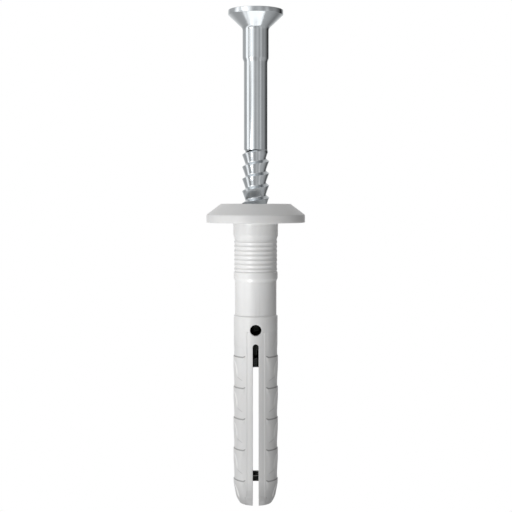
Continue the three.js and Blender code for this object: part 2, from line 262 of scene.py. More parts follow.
def tidy_shell(bm, distance=1e-6):
    """Merges the seams and poles that a turned shape leaves, and points its faces outward."""
    bmesh.ops.remove_doubles(bm, verts=bm.verts, dist=distance)
    bmesh.ops.dissolve_degenerate(bm, edges=bm.edges, dist=distance / 2)
    bmesh.ops.recalc_face_normals(bm, faces=bm.faces)


def draw_profile(bm, corners, closed=False, segments=5):
    """Draws an outline from (radius, height, setback) corners in the XZ plane, and rounds each
    corner that has a setback. Returns the outline's vertices and edges."""
    verts = [bm.verts.new((radius, 0, height)) for radius, height, _ in corners]
    pairs = list(zip(verts, verts[1:]))
    if closed:
        pairs.append((verts[-1], verts[0]))
    for first, second in pairs:
        bm.edges.new((first, second))
    setbacks = sorted({setback for _, _, setback in corners if setback > 0})
    for wanted in setbacks:
        rounded = [v for v, (_, _, setback) in zip(verts, corners) if setback == wanted]
        bmesh.ops.bevel(
            bm, geom=rounded, offset=wanted, offset_type="OFFSET", segments=segments,
            profile=0.5, affect="VERTICES", material=-1,
        )
    return bm.verts[:] + bm.edges[:]


def turn_about_axis(bm, outline, steps):
    bmesh.ops.spin(
        bm, geom=outline, cent=(0, 0, 0), axis=(0, 0, 1), dvec=(0, 0, 0),
        angle=2 * math.pi, steps=steps, use_merge=True, use_duplicate=False,
    )
    tidy_shell(bm)


def combine(piece, bm, operation):
    """Cuts or joins the shape in bm into the piece, and takes the result as its mesh."""
    tool = new_piece(piece.name + "_tool", bm, None)
    modifier = piece.modifiers.new("combine", "BOOLEAN")
    modifier.operation = operation
    modifier.solver = "EXACT"
    modifier.object = tool
    bpy.context.view_layer.update()
    shaped = piece.evaluated_get(bpy.context.evaluated_depsgraph_get())
    old, new = piece.data, bpy.data.meshes.new_from_object(shaped)
    piece.modifiers.remove(modifier)
    piece.data = new
    new.name = old.name
    bpy.data.meshes.remove(old)
    bpy.data.objects.remove(tool)


def soften_edges(piece, chosen, width, segments=3):
    """Rounds the edges that chosen(edge) picks, and marks the sharp edges again."""
    bm = bmesh.new()
    bm.from_mesh(piece.data)
    edges = [e for e in bm.edges if e.is_manifold and chosen(e)]
    bmesh.ops.bevel(
        bm, geom=edges, offset=width, offset_type="OFFSET", segments=segments, profile=0.5,
        affect="EDGES", material=-1, clamp_overlap=True,
    )
    smooth_but_sharp_edges(bm)
    bm.to_mesh(piece.data)
    bm.free()


def clean_mesh(piece, distance=2e-7):
    """Merges what a cut leaves doubled, and drops slivers."""
    bm = bmesh.new()
    bm.from_mesh(piece.data)
    bmesh.ops.remove_doubles(bm, verts=bm.verts, dist=distance)
    bmesh.ops.dissolve_degenerate(bm, edges=bm.edges, dist=distance)
    bm.to_mesh(piece.data)
    bm.free()


def ramp(value, low, high):
    """0 below low, 1 above high, and smooth between."""
    share_done = min(max((value - low) / (high - low), 0), 1)
    return share_done * share_done * (3 - 2 * share_done)


def between(start, end, part):
    return start + (end - start) * part


def spread(start, end, steps):
    return [between(start, end, i / steps) for i in range(steps + 1)]


# ---------------------------------------------------------------- plug


# Columns of vertices round a quarter of the plug, from the slot's middle to the leg's side, in
# the stretches that the slot, the strip, its sloped edge and the barb's end mark off.
SLOT_COLUMNS, STRIP_COLUMNS, SLOPE_COLUMNS, GAP_COLUMNS, BARB_COLUMNS = 4, 9, 3, 3, 29
QUARTER_COLUMNS = SLOT_COLUMNS + STRIP_COLUMNS + SLOPE_COLUMNS + GAP_COLUMNS + BARB_COLUMNS


def column_offsets(legs):
    """Each column's distance from the slot's middle plane, or its angle from the leg's side
    for the columns past the barb's end. Returns a list of ("x", distance) or ("angle", angle)."""
    strip = legs.strip_half
    slope = strip + legs.strip_slope
    barb = strip + legs.barb_inset
    places = spread(0, legs.slot_half, SLOT_COLUMNS)
    places += spread(legs.slot_half, strip, STRIP_COLUMNS)[1:]
    places += spread(strip, slope, SLOPE_COLUMNS)[1:]
    places += spread(slope, barb, GAP_COLUMNS)[1:]
    columns = [("x", place) for place in places]
    last = math.acos(barb / legs.panel_radius)
    columns += [("angle", angle) for angle in spread(last, 0, BARB_COLUMNS)[1:]]
    return columns


def barb_tops(legs):
    """Heights of the barbs' ledges, downward, with one before the first for its pattern."""
    first = panel_top() - legs.barb_drop
    return [first - i * legs.barb_pitch for i in range(-1, legs.barb_count)]


def panel_top():
    neck, legs = bpy.context.scene.anchor_neck, bpy.context.scene.anchor_legs
    ridges = neck.groove_pitch * neck.groove_count
    upper = neck.ring_length + neck.ring_taper + ridges + neck.band_length + neck.band_taper
    return -(upper + neck.shaft_length + legs.plain_length)


def nose_radius_at(legs, height):
    """Radius that the nose allows at a height: a straight taper with a steeper end, both
    blended into each other."""
    rise = height - LEG_LOW.z
    steep = (legs.nose_radius - legs.tip_radius) / legs.nose_end
    gentle = (legs.barb_radius - legs.nose_radius) / (legs.nose_length - legs.nose_end)
    taper = legs.nose_radius + gentle * (rise - legs.nose_end)
    end = legs.tip_radius + steep * rise
    radius = soft_minimum(soft_minimum(taper, end, 0.04 * MM), legs.barb_radius, 0.02 * MM)
    edge = max(0, 1 - rise / legs.tip_rounding)
    return radius - legs.tip_rounding * (1 - math.sqrt(1 - edge * edge))


def soft_minimum(first, second, width):
    """The smaller of two values, rounded over where they are within a few widths."""
    gap = max(0, 1 - abs(first - second) / (4 * width))
    return min(first, second) - width * gap * gap


def barb_radius_at(legs, angle, below):
    """Radius of a barb at an angle from the leg's side and a depth below its ledge. The barb is
    a cone with a shallow flat at each side, and its front part ends in a slanted step."""
    cone = legs.barb_radius - ramp(below, 1.1 * MM, 4.7 * MM) * 0.09 * MM
    flat_half = FLAT_HALF * (1 - math.exp(-max(below - FLAT_DROP, 0) / FLAT_GROWTH))
    radius = cone
    away = abs(angle - FLAT_MIDDLE)
    if away < flat_half:
        radius = cone * math.cos(flat_half) / math.cos(away)
    front = ramp(angle, math.radians(30), math.radians(35))
    step_at = STEP_DROP + STEP_SLANT * (angle - STEP_ANGLE)
    stepped = ramp(below, step_at, step_at + 0.12 * MM)
    radius = between(radius, legs.panel_radius, front * stepped)
    flush = ramp(below, 3.2 * MM, legs.barb_pitch)
    return between(radius, legs.panel_radius + 0.01 * MM, flush)


def skin_radius(legs, column, height, below):
    """Outer radius of the expansion zone at a column, below a barb's ledge by `below`."""
    kind, place = column
    sunk = 0
    if kind == "x":
        radius = legs.panel_radius
        step = ramp(place, legs.strip_half, legs.strip_half + legs.strip_slope)
        end = LEG_LOW.z + legs.strip_end
        step_down = ramp(height, end, end + 0.07 * MM)
        sunk = legs.strip_recess * (1 - step) * step_down
    else:
        barb_end = math.acos((legs.strip_half + legs.barb_inset) / legs.panel_radius)
        run_in = math.radians(between(3, 15, ramp(below, 0.1 * MM, 1.0 * MM)))
        lip = ramp(barb_end - place, 0, run_in)
        barb = barb_radius_at(legs, place, below)
        radius = between(legs.panel_radius, barb, lip)
    if height > barb_tops(legs)[1]:
        radius = min(radius, legs.plain_radius - 0.01 * MM)
    return min(radius, nose_radius_at(legs, height)) - sunk


def station_heights(legs, top):
    """Heights of the rows of vertices down a leg, each with its depth below the barb above it.
    Rows crowd at every ledge, so that its lip is crisp."""
    rows = []
    tops = barb_tops(legs)
    tip = LEG_LOW.z
    for i, ledge in enumerate(tops):
        end = tops[i + 1] if i + 1 < len(tops) else tip
        slope = legs.ledge_height / MM
        depths = [0.012, 0.03, 0.07] + spread(0.15, (ledge - end) / MM - slope - 0.12, 27)
        if i + 1 == len(tops):
            full = (ledge - end) / MM
            depths = [0.012, 0.03, 0.07] + spread(0.15, full - 0.2, 30)
            rounding = legs.tip_rounding / MM
            depths += [full - rounding * part for part in (1, 0.75, 0.52, 0.33, 0.18, 0.07, 0)]
            foot = full - legs.strip_end / MM
            depths = sorted({*depths, foot - 0.08, foot - 0.05, foot - 0.02, foot + 0.01})
        else:
            foot = (ledge - end) / MM - slope
            depths += [foot - 0.05, foot - 0.02, foot]
        for depth in depths:
            height = ledge - depth * MM
            if height < top - 0.02 * MM:
                rows.append((height, depth * MM))
    return rows


def curl(legs, column, height):
    """How far a barb's end lifts the rows beside its ledge."""
    kind, place = column
    reach = place if kind == "x" else legs.panel_radius * math.cos(place)
    end = legs.strip_half + legs.barb_inset
    near = 1 - ramp(reach, end - 0.02 * MM, end + 0.3 * MM)
    if reach < legs.strip_half + legs.strip_slope:
        near *= ramp(reach, legs.strip_half, legs.strip_half + legs.strip_slope)
    closest = min(abs(height - ledge) for ledge in barb_tops(legs)[1:])
    return legs.barb_hook * near * (1 - ramp(closest, 0, 0.45 * MM))


def channel_shift(depth):
    """How far the bore leans in towards the slot at a depth below the hinge, which is as far as
    the screw's passing tip has swung the leg out."""
    drive = next(j for j in frame["joints"] if j["name"] == "screw_drive")
    swing = next(j for j in frame["joints"] if j["name"] == "leg_right_spread")
    travel = depth - (HINGE_HEIGHT - SCREW_LOW.z)
    share_done = max(travel, 0) / drive["range_m"][1]
    return depth * math.tan(math.radians(swing["range_deg"][1])) * share_done


def make_sleeve(scene, nylon):
    """Collar, grooved neck, shaft and the top of the expansion zone, with its bore."""
    collar, neck, legs = scene.anchor_collar, scene.anchor_neck, scene.anchor_legs
    ring_end = -neck.ring_length
    ridges_top = ring_end - neck.ring_taper
    ridges_end = ridges_top - neck.groove_pitch * neck.groove_count
    band_end = ridges_end - neck.band_length
    shaft_top = band_end - neck.band_taper
    shaft_end = shaft_top - neck.shaft_length
    panels = panel_top()
    seat_foot = collar.height - collar.seat_depth
    bore_mouth = seat_foot - collar.seat_cone
    edge = collar.rounding
    outline = [
        (collar.bore_radius, HINGE_HEIGHT, 0),
        (collar.bore_radius, bore_mouth, 0.1 * MM),
        (collar.seat_radius, seat_foot, 0.05 * MM),
        (collar.seat_radius, collar.height, 0.08 * MM),
        (collar.top_radius, collar.height, edge),
        (collar.radius, collar.rim_height, edge),
        (collar.radius, 0, edge),
        (neck.ring_radius, 0, collar.fillet),
        (neck.ring_radius, ring_end, 0.1 * MM),
        (neck.ridge_radius - neck.groove_depth, ridges_top, 0),
    ]
    steps_per_groove = 8
    for i in range(1, neck.groove_count * steps_per_groove + 1):
        turn = 2 * math.pi * i / steps_per_groove
        dip = neck.groove_depth * (1 + math.cos(turn)) / 2
        height = ridges_top - i * neck.groove_pitch / steps_per_groove
        outline.append((neck.ridge_radius - dip, height, 0))
    outline += [
        (neck.band_radius, ridges_end - 0.12 * MM, 0.05 * MM),
        (neck.band_radius, band_end, 0.07 * MM),
        (neck.shaft_radius, shaft_top, 0.12 * MM),
        (neck.shaft_radius, shaft_end, 0.04 * MM),
        (legs.plain_radius, shaft_end - 0.06 * MM, 0.04 * MM),
        (legs.plain_radius, panels + 0.03 * MM, 0),
    ]
    rows = spread(panels, HINGE_HEIGHT, 22)
    outline += [(legs.panel_radius, height, 0) for height in rows]
    bm = bmesh.new()
    outline_parts = draw_profile(bm, outline, closed=True)
    turn_about_axis(bm, outline_parts, 4 * QUARTER_COLUMNS)
    shape_expansion_zone(bm, legs, panels)
    sleeve = new_piece("plug_sleeve_shell", bm, nylon)
    cross_hole = rod_across(legs, legs.hole_radius, -legs.hole_depth, 64)
    combine(sleeve, cross_hole, "DIFFERENCE")
    slot_end = rod_across(legs, legs.slot_half, HINGE_HEIGHT, 48)
    combine(sleeve, slot_end, "DIFFERENCE")
    clean_mesh(sleeve)
    hole = Vector((0, 0, -legs.hole_depth))
    slot = Vector((0, 0, HINGE_HEIGHT))

    def on_lip(edge):
        middle = (edge.verts[0].co + edge.verts[1].co) / 2
        outside = math.hypot(middle.x, middle.y) > legs.panel_radius - 0.12 * MM
        flat = Vector((middle.x, 0, middle.z))
        on_hole = abs((flat - hole).length - legs.hole_radius) < 0.012 * MM
        on_slot = (
            abs((flat - slot).length - legs.slot_half) < 0.012 * MM
            and middle.z > HINGE_HEIGHT + 0.01 * MM
        )
        return outside and (on_hole or on_slot) and edge.calc_face_angle(0) > 0.6

    soften_edges(sleeve, on_lip, legs.hole_lip)
    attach(sleeve, "sleeve")
    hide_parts("plug_sleeve")
    return sleeve


def shape_expansion_zone(bm, legs, panels):
    """Moves the evenly turned columns to where the slot, strips and barbs need them, and gives
    the rows below the panels' top edge their relief."""
    columns = column_offsets(legs)
    step = math.pi / 2 / QUARTER_COLUMNS
    middle_radius = legs.panel_radius
    for vert in bm.verts:
        radius = math.hypot(vert.co.x, vert.co.y)
        from_slot = math.atan2(abs(vert.co.x), abs(vert.co.y))
        column = columns[round(from_slot / step)]
        kind, place = column
        if vert.co.z <= panels + 1e-7 and radius > legs.panel_radius - 1e-5:
            below = barb_tops(legs)[0] - vert.co.z
            radius = skin_radius(legs, column, vert.co.z, below)
            angle = math.acos(place / radius) if kind == "x" else place
        else:
            angle = math.acos(place / middle_radius) if kind == "x" else place
        x = radius * math.cos(angle)
        y = radius * math.sin(angle)
        vert.co.x = math.copysign(x, vert.co.x) if x > 1e-8 else 0
        vert.co.y = math.copysign(y, vert.co.y) if y > 1e-8 else 0


def rod_across(legs, radius, height, segments):
    """A rod from the front to the back of the plug, to cut with."""
    bm = bmesh.new()
    bmesh.ops.create_cone(
        bm, cap_ends=True, segments=segments, radius1=radius, radius2=radius,
        depth=3 * legs.barb_radius,
    )
    quarter_turn = Matrix.Rotation(math.pi / 2, 3, "X")
    bmesh.ops.rotate(bm, verts=bm.verts, cent=(0, 0, 0), matrix=quarter_turn)
    bmesh.ops.translate(bm, verts=bm.verts, vec=(0, 0, height))
    return bm


def leg_section(legs, bore_radius, height, below):
    """One closed outline of the right-hand leg, as points in the order of its columns: round
    the outside from the front of the slot to its back, and home along the bore."""
    columns = column_offsets(legs)[SLOT_COLUMNS:]
    half_skin = []
    for column in columns:
        kind, place = column
        lifted = height + curl(legs, column, height)
        radius = skin_radius(legs, column, height, below)
        angle = math.acos(min(place / radius, 1)) if kind == "x" else place
        half_skin.append((radius * math.cos(angle), radius * math.sin(angle), lifted))
    corner = legs.slot_corner
    edge_x, edge_y, _ = half_skin[0]
    half_skin[0] = (edge_x + corner, math.sqrt(edge_y ** 2 - 2 * edge_x * corner), height)
    rounding = [
        (edge_x + corner * (1 - math.sin(turn)), edge_y - corner * (1 - math.cos(turn)), height)
        for turn in spread(0.25, math.pi / 2, 3)
    ]
    shift = channel_shift(HINGE_HEIGHT - height)
    centre = -shift
    first_turn = math.acos((legs.slot_half - centre) / bore_radius)
    bore = [
        (centre + bore_radius * math.cos(turn), bore_radius * math.sin(turn), height)
        for turn in spread(first_turn, 0, 20)
    ]
    wall_top, wall_foot = rounding[-1][1], bore[0][1]
    wall = [(legs.slot_half, between(wall_top, wall_foot, i / 4), height) for i in range(1, 4)]
    front = [(x, -y, z) for x, y, z in reversed(half_skin)]
    skin = list(reversed(front))[:-1] + [half_skin[-1]] + list(reversed(half_skin))[1:]
    inner = rounding + wall + bore
    mirrored = [(x, -y, z) for x, y, z in reversed(inner)]
    return skin + inner + mirrored[1:]


def make_leg(scene, side, name, node, nylon):
    """One expansion leg, drawn down from its root section by section."""
    legs = scene.anchor_legs
    bore_radius = scene.anchor_collar.bore_radius
    top_below = barb_tops(legs)[0] - HINGE_HEIGHT
    stations = [(HINGE_HEIGHT, top_below)] + station_heights(legs, HINGE_HEIGHT)
    sections = [leg_section(legs, bore_radius, height, below) for height, below in stations]
    bm = bmesh.new()
    column = bm.verts.layers.int.new("column")
    made = bmesh.ops.create_circle(bm, cap_ends=False, segments=len(sections[0]), radius=1)
    for i, vert in enumerate(made["verts"]):
        vert[column] = i
    edges = bm.edges[:]
    place_ring(made["verts"], column, sections[0], side)
    for section in sections[1:]:
        drawn = bmesh.ops.extrude_edge_only(bm, edges=edges)["geom"]
        ring = [part for part in drawn if isinstance(part, bmesh.types.BMVert)]
        edges = [part for part in drawn if isinstance(part, bmesh.types.BMEdge)]
        edges = [edge for edge in edges if all(v in set(ring) for v in edge.verts)]
        place_ring(ring, column, section, side)
    bmesh.ops.holes_fill(bm, edges=bm.edges, sides=0)
    tidy_shell(bm)
    leg = new_piece(name, bm, nylon)
    if side < 0:
        combine(leg, tear_web(legs), "UNION")
        clean_mesh(leg)
    for polygon in leg.data.polygons:
        polygon.use_smooth = True
    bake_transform(leg)
    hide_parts(node)
    return leg


def place_ring(verts, column, section, side):
    for vert in verts:
        x, y, z = section[vert[column]]
        vert.co = (side * x, y, z)


def tear_web(legs):
    """The web that spans the slot inside the rear wall, and tears off the right-hand leg."""
    bm = bmesh.new()
    bmesh.ops.create_cube(bm, size=1)
    left = -legs.slot_half - 0.3 * MM
    right = legs.slot_half - 0.005 * MM
    low = LEG_LOW.z + legs.web_rise
    size = (right - left, legs.web_thickness, legs.web_height)
    bmesh.ops.scale(bm, verts=bm.verts, vec=size)
    middle_y = legs.web_depth + legs.web_thickness / 2
    middle = ((left + right) / 2, middle_y, low + legs.web_height / 2)
    bmesh.ops.translate(bm, verts=bm.verts, vec=middle)
    return bm


# ---------------------------------------------------------------- nail screw


def make_shank(screw, thread_top, zinc):
    top = SCREW_HIGH.z
    rim_foot = top - screw.rim_height
    neck_top = rim_foot - screw.cone_height
    step = top - screw.neck_end
    outline = [
        (0, top, 0),
        (screw.recess_half + 0.6 * MM, top, 0),
        (screw.head_radius, top, 0.07 * MM),
        (screw.head_radius, rim_foot, 0.06 * MM),
        (screw.neck_radius, neck_top, 0.25 * MM),
        (screw.neck_radius, step, 0.1 * MM),
        (screw.shank_radius, step - screw.neck_taper, 0.1 * MM),
        (screw.shank_radius, thread_top, 0.03 * MM),
        (0, thread_top, 0),
    ]
    bm = bmesh.new()
    turn_about_axis(bm, draw_profile(bm, outline), 128)
    return new_piece("nail_screw_bright", bm, zinc)


def make_thread(screw, thread_top):
    """The threaded end: one tooth's outline wound up the core, then trimmed at both ends."""
    turns = math.ceil((thread_top - SCREW_LOW.z) / screw.lead) + 3
    steps = 72
    crest, root = screw.crest_radius, screw.root_radius
    start = SCREW_LOW.z - screw.lead * (1.5 + screw.turn_offset) + screw.lead / 2
    lower = screw.lead - screw.steep_flank - screw.root_flat
    tooth = [
        (crest, start, 0),
        (root, start + screw.steep_flank, 0.04 * MM),
        (root, start + screw.steep_flank + screw.root_flat, 0.04 * MM),
        (between(root, crest, 0.46), start + screw.lead - lower * 0.5, 0.2 * MM),
        (crest - 0.012 * MM, start + screw.lead - 0.04 * MM, 0),
        (crest, start + screw.lead, 0),
    ]
    bm = bmesh.new()
    outline = draw_profile(bm, tooth, segments=3)
    bmesh.ops.spin(
        bm, geom=outline, cent=(0, 0, 0), axis=(0, 0, 1), dvec=(0, 0, screw.lead / steps),
        angle=2 * math.pi * turns, steps=steps * turns, use_merge=False, use_duplicate=False,
    )
    bmesh.ops.remove_doubles(bm, verts=bm.verts, dist=2e-6)
    inside = 0.3 * MM  # how far the core runs up into the shank
    for height, keep_above in ((SCREW_LOW.z, True), (thread_top + inside, False)):
        bmesh.ops.bisect_plane(
            bm, geom=bm.verts[:] + bm.edges[:] + bm.faces[:], dist=1e-7,
            plane_co=(0, 0, height), plane_no=(0, 0, 1),
            clear_inner=keep_above, clear_outer=not keep_above,
        )
    trims = spread(SCREW_LOW.z, SCREW_LOW.z + screw.tip_chamfer, 5)[1:]
    trims += [thread_top - 1e-6, thread_top + 1e-6]
    for height in trims:
        bmesh.ops.bisect_plane(
            bm, geom=bm.verts[:] + bm.edges[:] + bm.faces[:], dist=1e-8,
            plane_co=(0, 0, height), plane_no=(0, 0, 1),
        )
    for vert in bm.verts:
        radius = math.hypot(vert.co.x, vert.co.y)
        rise = (vert.co.z - SCREW_LOW.z) / screw.tip_chamfer
        allowed = between(screw.tip_radius, crest, min(max(rise, 0), 1) ** 0.7)
        if vert.co.z > thread_top:
            allowed = screw.shank_radius - 0.1 * MM
        else:
            allowed = min(allowed, screw.shank_radius + (thread_top - vert.co.z) * 0.9)
        if radius > allowed:
            vert.co.x *= allowed / radius
            vert.co.y *= allowed / radius
    bmesh.ops.holes_fill(bm, edges=bm.edges, sides=0)
    tidy_shell(bm, 1e-7)
    return bm


def cross_recess(screw):
    """Two tapered wings that cross on the axis, joined as one cutter."""
    wings = []
    for turned in (False, True):
        bm = bmesh.new()
        bmesh.ops.create_cube(bm, size=1)
        over = 0.5 * MM
        tall = screw.recess_depth + over
        for vert in bm.verts:
            top = vert.co.z > 0
            slope = (screw.recess_half - screw.recess_floor) / screw.recess_depth
            reach = screw.recess_half + slope * over if top else screw.recess_floor
            thick = screw.recess_wing / 2 * (1.05 if top else 0.8)
            x = math.copysign(reach, vert.co.x)
            y = math.copysign(thick, vert.co.y)
            if turned:
                x, y = -y, x
            vert.co = (x, y, SCREW_HIGH.z + (over if top else over - tall))
        bmesh.ops.recalc_face_normals(bm, faces=bm.faces)
        wings.append(bm)
    return wings


def make_screw(scene, zinc):
    screw = scene.anchor_screw
    thread_top = SCREW_HIGH.z - screw.thread_start
    piece = make_shank(screw, thread_top, zinc)
    combine(piece, make_thread(screw, thread_top), "UNION")
    for wing in cross_recess(screw):
        combine(piece, wing, "DIFFERENCE")
    clean_mesh(piece)
    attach(piece, "screw")
    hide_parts("nail_screw")
    return piece


# ---------------------------------------------------------------- materials


def add_node(tree, kind, **settings):
    """Adds a node, in rows of ten."""
    row, place = divmod(len(tree.nodes), 10)
    node = tree.nodes.new(kind)
    node.location = (200 * place, -320 * row)
    for name, value in settings.items():
        setattr(node, name, value)
    return node


def feed(tree, node, **links):
    """Sets or links inputs by name, with _ for a space: a socket is linked, a value is set."""
    for name, value in links.items():
        key = int(name[1:]) if name[1:].isdigit() else name.replace("_", " ")
        socket = node.inputs[key]
        if isinstance(value, bpy.types.NodeSocket):
            tree.links.new(value, socket)
        else:
            socket.default_value = value
    return node


def maths(tree, operation, first, second, clamp=False):
    node = add_node(tree, "ShaderNodeMath", operation=operation, use_clamp=clamp)
    feed(tree, node, _0=first, _1=second)
    return node.outputs[0]


def noise(tree, vector, scale, detail, roughness=0.5):
    node = add_node(tree, "ShaderNodeTexNoise")
    feed(tree, node, Vector=vector, Scale=scale, Detail=detail, Roughness=roughness)
    return node.outputs["Fac"]


def mix_colour(tree, factor, first, second):
    node = add_node(tree, "ShaderNodeMix", data_type="RGBA")
    feed(tree, node, _0=factor, _6=first, _7=second)
    return node.outputs[2]


def grain_group():
    """Fine surface grain: a height and a cloudy mask, from a grain size in metres."""
    existing = bpy.data.node_groups.get("surface_grain")
    if existing:
        return existing
    group = bpy.data.node_groups.new("surface_grain", "ShaderNodeTree")
    for name, kind in (("Vector", "NodeSocketVector"), ("Grain", "NodeSocketFloat")):
        group.interface.new_socket(name, in_out="INPUT", socket_type=kind)
    for name in ("Height", "Cloud"):
        group.interface.new_socket(name, in_out="OUTPUT", socket_type="NodeSocketFloat")
    entry = add_node(group, "NodeGroupInput")
    leave = add_node(group, "NodeGroupOutput")
    vector = entry.outputs["Vector"]
    fine_scale = maths(group, "DIVIDE", 1.0, entry.outputs["Grain"])
    broad_scale = maths(group, "MULTIPLY", fine_scale, 0.07)
    fine = noise(group, vector, fine_scale, 3.0, 0.6)
    broad = noise(group, vector, broad_scale, 2.0)
    group.links.new(fine, leave.inputs["Height"])
    group.links.new(broad, leave.inputs["Cloud"])
    return group


def shade_mask_group():
    """Masks of hollows, from how the surface is curved, and of deep shelter such as the slot's
    inside, from how much of the room the surface sees. The materials use both to paint shade."""
    existing = bpy.data.node_groups.get("shade_masks")
    if existing:
        return existing
    group = bpy.data.node_groups.new("shade_masks", "ShaderNodeTree")
    for name in ("Hollow", "Shelter"):
        group.interface.new_socket(name, in_out="OUTPUT", socket_type="NodeSocketFloat")
    for name in ("Onset", "Gain", "Reach", "Shelter Onset", "Shelter Full"):
        group.interface.new_socket(name, in_out="INPUT", socket_type="NodeSocketFloat")
    entry = add_node(group, "NodeGroupInput")
    leave = add_node(group, "NodeGroupOutput")
    shape = add_node(group, "ShaderNodeNewGeometry")
    concave = maths(group, "SUBTRACT", 0.5, shape.outputs["Pointiness"])
    depth = maths(group, "SUBTRACT", concave, entry.outputs["Onset"])
    hollow = maths(group, "MULTIPLY", depth, entry.outputs["Gain"], clamp=True)
    sight = add_node(group, "ShaderNodeAmbientOcclusion", samples=24)
    group.links.new(entry.outputs["Reach"], sight.inputs["Distance"])
    closed = add_node(group, "ShaderNodeMapRange", interpolation_type="SMOOTHSTEP")
    onset, full = entry.outputs["Shelter Onset"], entry.outputs["Shelter Full"]
    feed(group, closed, _0=sight.outputs["AO"], _1=onset, _2=full)
    group.links.new(closed.outputs[0], leave.inputs["Shelter"])
    group.links.new(hollow, leave.inputs["Hollow"])
    return group


def start_material(name):
    material = bpy.data.materials.new(name)
    material.use_nodes = True
    tree = material.node_tree
    shader = tree.nodes["Principled BSDF"]
    where = add_node(tree, "ShaderNodeTexCoord")
    return material, tree, shader, where.outputs["Object"]


def place_group(tree, group):
    node = add_node(tree, "ShaderNodeGroup")
    node.node_tree = group
    return node


WEB_ZONE = 7.3 * MM  # the web lies within this height above the tip
WEB_LIGHT_LINE = 0.56  # how far up the web the line left out of the painted shade is, a painted highlight
CREASE_SHADE_ZONE = (-7.6 * MM, -8 * MM)  # creases get painted shade below the neck
NOSE_SHADE_ZONE = (LEG_LOW.z + 3.4 * MM, LEG_LOW.z + 0.3 * MM)  # where painted shade darkens the nylon towards the tip
GROOVE_SHIFT = 0.1 * MM  # how much lower the shading's grooves are than the mesh's


def web_shade_mask(tree, split):
    """Painted shade on the tear web deep in the slot, less a light line across it: a painted
    highlight.
    """
    legs = bpy.context.scene.anchor_legs
    across = maths(tree, "ABSOLUTE", split.outputs["X"], 0.0)
    inside = maths(tree, "LESS_THAN", across, legs.slot_half - 0.008 * MM)
    low = maths(tree, "LESS_THAN", split.outputs["Z"], LEG_LOW.z + WEB_ZONE)
    line = LEG_LOW.z + legs.web_rise + legs.web_height * WEB_LIGHT_LINE
    from_line = maths(tree, "SUBTRACT", split.outputs["Z"], line)
    away = maths(tree, "ABSOLUTE", from_line, 0.0)
    off_line = ease(tree, away, 0.02 * MM, 0.08 * MM)
    both = maths(tree, "MULTIPLY", inside, low)
    return maths(tree, "MULTIPLY", both, off_line)


def barb_shade_and_highlight_lines(tree, split):
    """Painted shade lines on the slope above each barb's edge and on its slanted step, and a painted
    highlight along the edge of the flat at each barb's side. They follow the mesh."""
    legs = bpy.context.scene.anchor_legs
    first = panel_top() - legs.barb_drop
    end = legs.strip_half + legs.barb_inset
    across = maths(tree, "ABSOLUTE", split.outputs["X"], 0.0)
    hooked = ease(tree, across, end + 0.3 * MM, end - 0.02 * MM)
    lift = maths(tree, "MULTIPLY", hooked, legs.barb_hook)
    lowered = maths(tree, "SUBTRACT", split.outputs["Z"], lift)
    above_first = maths(tree, "SUBTRACT", lowered, first)
    rise = add_node(tree, "ShaderNodeMath", operation="WRAP")
    feed(tree, rise, _0=above_first, _1=legs.barb_pitch, _2=0.0)
    height = legs.ledge_height
    near = ease(tree, rise.outputs[0], height + 0.05 * MM, height - 0.05 * MM)
    on_barb = ease(tree, across, end - 0.06 * MM, end + 0.02 * MM)
    within = ease(tree, above_first, 0.5 * MM, 0.4 * MM)
    on_leg = maths(tree, "MULTIPLY", on_barb, within)
    ledge = maths(tree, "MULTIPLY", near, on_leg)
    forward = maths(tree, "ABSOLUTE", split.outputs["Y"], 0.0)
    angle = maths(tree, "ARCTAN2", forward, across)
    below = maths(tree, "SUBTRACT", legs.barb_pitch, rise.outputs[0])
    started = maths(tree, "SUBTRACT", below, FLAT_DROP)
    decay = maths(tree, "DIVIDE", started, -FLAT_GROWTH)
    left = maths(tree, "EXPONENT", decay, 0.0)
    narrowed = maths(tree, "MULTIPLY", left, FLAT_HALF)
    line_at = maths(tree, "SUBTRACT", FLAT_MIDDLE + FLAT_HALF, narrowed)
    off = maths(tree, "SUBTRACT", angle, line_at)
    from_line = maths(tree, "ABSOLUTE", off, 0.0)
    on_line = ease(tree, from_line, math.radians(6), math.radians(2.5))
    begun = ease(tree, below, FLAT_DROP, FLAT_DROP + 0.25 * MM)
    stops = ease(tree, below, 2.6 * MM, 2.0 * MM)
    length_share = maths(tree, "MULTIPLY", begun, stops)
    facet_line = maths(tree, "MULTIPLY", on_line, length_share)
    under_first = ease(tree, above_first, 0.0, -0.1 * MM)
    over_last = ease(tree, above_first, -4.6 * legs.barb_pitch, -4.5 * legs.barb_pitch)
    on_rows = maths(tree, "MULTIPLY", under_first, over_last)
    facet_highlight = maths(tree, "MULTIPLY", facet_line, on_rows)
    slant = maths(tree, "SUBTRACT", angle, STEP_ANGLE)
    step_drop = maths(tree, "MULTIPLY", slant, STEP_SLANT)
    step_at = maths(tree, "ADD", step_drop, STEP_DROP + 0.05 * MM)
    from_step = maths(tree, "SUBTRACT", below, step_at)
    step_away = maths(tree, "ABSOLUTE", from_step, 0.0)
    on_step = ease(tree, step_away, 0.1 * MM, 0.03 * MM)
    past_front = ease(tree, angle, STEP_ANGLE, STEP_ANGLE + math.radians(3))
    before_end = ease(tree, angle, math.radians(54), math.radians(50))
    span = maths(tree, "MULTIPLY", past_front, before_end)
    step_line = maths(tree, "MULTIPLY", on_step, span)
    on_barbs = maths(tree, "MULTIPLY", step_line, on_rows)
    faint = maths(tree, "MULTIPLY", on_barbs, 0.4)
    strong = maths(tree, "MULTIPLY", ledge, 0.85)
    return maths(tree, "MAXIMUM", strong, faint), facet_highlight


